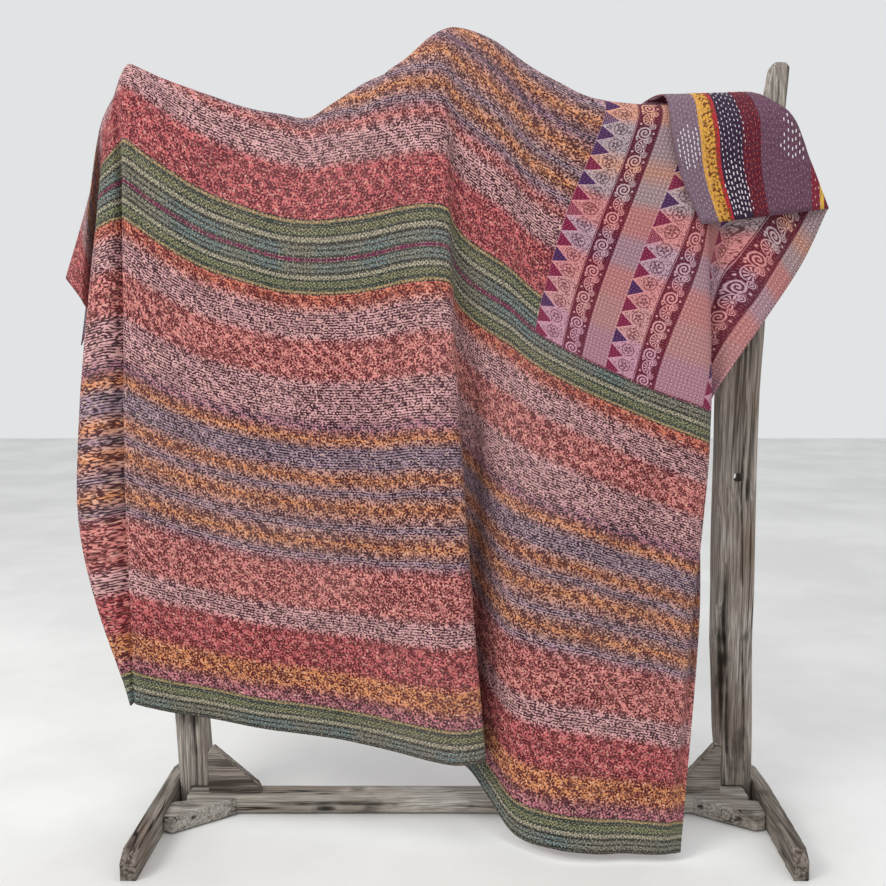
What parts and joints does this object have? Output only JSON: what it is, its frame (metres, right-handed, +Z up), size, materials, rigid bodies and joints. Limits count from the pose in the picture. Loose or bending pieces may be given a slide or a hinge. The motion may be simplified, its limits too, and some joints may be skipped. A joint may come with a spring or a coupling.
{
  "type": "kantha quilt draped on a rustic wooden rack",
  "caption": "Patchwork kantha quilt with running stitch, hung in deep folds over a free-standing weathered wood rack, one corner turned over to show its back.",
  "frame": {"origin": "on the floor, under the middle of the whole object's bounding box", "axes": "+Z up, -Y towards the viewer of the quilt's face, +X to that viewer's right"},
  "size_m": [1.7455, 0.4897, 1.821],
  "materials": {
    "quilt_cloth": "printed cotton, closely hand stitched, matt",
    "old_wood": "weathered grey-brown, cracked, unfinished",
    "pale_wood": "sun-bleached grey, unfinished"
  },
  "bodies": {
    "root": {"quilt": "quilt_cloth", "post_left": "old_wood", "post_right": "old_wood", "top_rail": "old_wood", "peak_peg": "old_wood", "stretcher": "pale_wood", "foot_left": "old_wood", "foot_right": "old_wood", "gusset_left": "old_wood", "gusset_right": "old_wood", "strut_left": "pale_wood", "strut_right": "pale_wood"}
  },
  "joints": []
}
